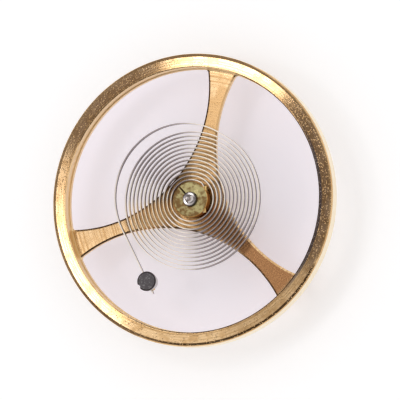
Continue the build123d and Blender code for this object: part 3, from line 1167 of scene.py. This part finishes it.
# Steel, its side polished bright and its top ground rough and painted dark grey, darkest in a ring at
# the edge, with a speckle of grit marks drawn coarser than real ones so that they show
side_steel_colour = paint("C4C2BF")
dark_top_colour = paint("6C686A")
grit_mark_colour = paint("A09C9E")
ring_colour = paint("463F40")
grit_size = 0.06
grit_depth = 0.006
stud_steel, add, place = start_finish("ground_stud_steel")
height = add("SeparateXYZ", {0: place}, out="Z")
grit = add("TexNoise", {"Vector": place, "Scale": 1 / grit_size, "Detail": 4.0, "Roughness": 0.7})
on_top = add(
    "MapRange",
    {"Value": height, "From Min": stud_top - stud_bevel, "From Max": stud_top - stud_bevel * 0.8},
)
marked = add("MapRange", {"Value": grit, "From Min": 0.48, "From Max": 0.66}, **soft)
from_middle = add(
    "VectorMath",
    {0: plan_radius(add, place)[0], 1: (stud_place.x, stud_place.y, 0)},
    out="Value",
    operation="DISTANCE",
)
at_edge = add(
    "MapRange",
    {
        "Value": from_middle,
        "From Min": stud_seat_radius * 0.80,
        "From Max": stud_seat_radius * 0.92,
    },
    **soft,
)
face_colour = dark_top_colour
for share, tone in ((marked, grit_mark_colour), (at_edge, ring_colour)):
    face_colour = add("Mix", {0: share, 6: face_colour, 7: tone}, **tints)
colour = add("Mix", {0: on_top, 6: side_steel_colour, 7: face_colour}, **tints)
roughness = add("MapRange", {"Value": on_top, "To Min": 0.16, "To Max": 0.5})
marks_on_top = add("Math", {0: grit, 1: on_top}, operation="MULTIPLY")
relief = add("Bump", {"Height": marks_on_top, "Distance": grit_depth * mm})
shader = add(
    "BsdfPrincipled",
    {"Base Color": colour, "Metallic": 1.0, "Roughness": roughness, "Normal": relief},
)
add("OutputMaterial", {"Surface": shader})

finish_piece(stud, "stud", "stud", stud_steel)

# The camera: a long lens, as far up and as far round as the photograph's
view_tilt = 19.2
near_side = -18
view_width = 13.56
view_distance = 0.25
sensor_width = 36
slant = radians(view_tilt)
roll = radians(-near_side)
towards = polar(1, near_side)
sideways = polar(1, near_side + 90)
leaning = towards * cos(slant) - Vector((0, 0, sin(slant)))
camera_right = leaning * cos(roll) + sideways * sin(roll)
camera_up = sideways * cos(roll) - leaning * sin(roll)
camera_back = towards * sin(slant) + Vector((0, 0, cos(slant)))
aim_right = 0.288
aim_down = 0.013
aim = Vector((0, 0, rim_top)) + camera_right * aim_right - camera_up * aim_down
camera = bpy.data.objects.new("camera", bpy.data.cameras.new("camera"))
bpy.context.scene.collection.objects.link(camera)
bpy.context.scene.camera = camera
camera.data.sensor_width = sensor_width
camera.data.lens = sensor_width * view_distance / (view_width * mm)
camera.data.clip_start = 0.01
camera.data.clip_end = 10
facing = Matrix((camera_right, camera_up, camera_back)).transposed().to_4x4()
camera.matrix_world = Matrix.Translation(aim * mm + camera_back * view_distance) @ facing
bpy.context.scene.view_settings.view_transform = "Standard"

# The stage: a pale floor under the lower pivot. It is lilac where it shows through the wheel and white
# round it, as the photograph's table is, and it keeps the wheel's soft shadow.
floor_lilac = paint("F4EEF9")
floor_white = paint("FBFAFB")
floor_lift = 0.2
floor_size = 2
table_reach = 4.76
table_blur = 0.15
table_shift = 0.56


def direct_rays(add):
    """One for rays from the eye, off metal or through a clear piece, and none for soft light."""
    eye, metal, clear = [
        add("LightPath", out=f"Is {kind} Ray") for kind in ("Camera", "Glossy", "Transmission")
    ]
    either = add("Math", {0: metal, 1: clear}, operation="MAXIMUM")
    return add("Math", {0: eye, 1: either}, operation="MAXIMUM")


bpy.ops.mesh.primitive_plane_add(size=floor_size)
floor = bpy.context.active_object
floor.name = "floor"
pale, add, place = start_finish("pale_floor")
table_middle = towards * -table_shift
from_middle = add("VectorMath", {0: place, 1: table_middle}, out="Value", operation="DISTANCE")
beyond = add(
    "MapRange",
    {
        "Value": from_middle,
        "From Min": table_reach - table_blur,
        "From Max": table_reach + table_blur,
    },
    **soft,
)
colour = add("Mix", {0: beyond, 6: floor_lilac, 7: floor_white}, **tints)
lift = add("Math", {0: direct_rays(add), 1: floor_lift}, operation="MULTIPLY")
glow = add("Emission", {"Strength": lift})
matt = add("BsdfDiffuse", {"Color": colour})
surface = add("AddShader", {0: matt, 1: glow})
add("OutputMaterial", {"Surface": surface})
floor.data.materials.append(pale)

# The room: plain white to the eye and in the metal, and an even soft light on everything
room_light = 0.8
world = bpy.data.worlds.new("room")
bpy.context.scene.world = world
add = empty_tree(world)
strength = add("MapRange", {"Value": direct_rays(add), "To Min": room_light, "To Max": 1.0})
room = add("Background", {"Color": paint("FFFFFF"), "Strength": strength})
add("OutputWorld", {"Surface": room})

# Three soft lamps and some grey cards hang over the wheel, where its faces mirror them to the camera.
# The lamps draw the bright fans on the rim, and the cards the brown stretches between them. Distances
# on the ceiling are shares of its height, and a level face mirrors the mirrored spot.
ceiling = 0.12
lamp_height = ceiling * 0.98
card_step = 6
zenith = Vector((0, 0, 0))
mirrored_spot = polar(tan(slant), near_side + 180)


def hang_lamp(name, offset, bearing, reach, brightness):
    """A soft round lamp on the ceiling. Its brightness is how bright its face looks."""
    data = bpy.data.lights.new(name, "AREA")
    data.shape = "DISK"
    data.size = reach * 2 * ceiling
    data.energy = brightness * pi * pi * (reach * ceiling) ** 2
    lamp = bpy.data.objects.new(name, data)
    bpy.context.scene.collection.objects.link(lamp)
    lamp.location = (mirrored_spot + polar(offset, bearing)) * ceiling
    lamp.location.z = lamp_height
    lamp.visible_camera = False


def hang_card(name, middle, inner, outer, start, sweep, grey):
    """A grey card, part of a ring about a place of the ceiling, seen as a reflection only."""
    start_piece()
    draw([polar(inner, start), polar(outer, start)])
    bpy.ops.mesh.select_all(action="SELECT")
    steps = max(4, sweep // card_step)
    bpy.ops.mesh.spin(steps=steps, angle=-radians(sweep), center=(0, 0, 0), axis=(0, 0, 1))
    card = close_up(name)
    card.scale = (ceiling, ceiling, 1)
    card.location = middle * ceiling
    card.location.z = ceiling
    tone, add, place = start_finish(name)
    matt = add("BsdfDiffuse", {"Color": paint(grey)})
    add("OutputMaterial", {"Surface": matt})
    card.data.materials.append(tone)
    card.visible_camera = card.visible_diffuse = False
    card.visible_shadow = card.visible_transmission = False


for lamp in (
    ("lamp_far", 0.20, 73, 0.10, 4.6),
    ("lamp_left", 0.20, 210, 0.105, 4.4),
    ("lamp_side", 0.20, 173, 0.05, 2.0),
):
    hang_lamp(*lamp)
for card in (
    ("card_right", mirrored_spot, 0.06, 0.36, 330, 125, "827C80"),
    ("card_left", mirrored_spot, 0.06, 0.36, 95, 142, "989194"),
    ("card_low", mirrored_spot, 0.06, 0.36, 288, 42, "EEEDEA"),
    ("card_middle", mirrored_spot, 0.005, 0.06, 0, 360, "C4BEB6"),
    ("card_ring_left", mirrored_spot, 0.37, 0.85, 60, 150, "A09C9C"),
    ("card_ring_low", mirrored_spot, 0.37, 0.85, 210, 45, "78706A"),
    ("card_ring_near", mirrored_spot, 0.37, 1.15, 255, 78, "4E4640"),
    ("card_ring_right", mirrored_spot, 0.37, 0.60, -25, 85, "7C746C"),
    ("card_far", zenith, 1.25, 12, 85, 142, "5A4E46"),
    ("card_near", zenith, 0.43, 0.58, -100, 60, "8C8074"),
):
    hang_card(*card)
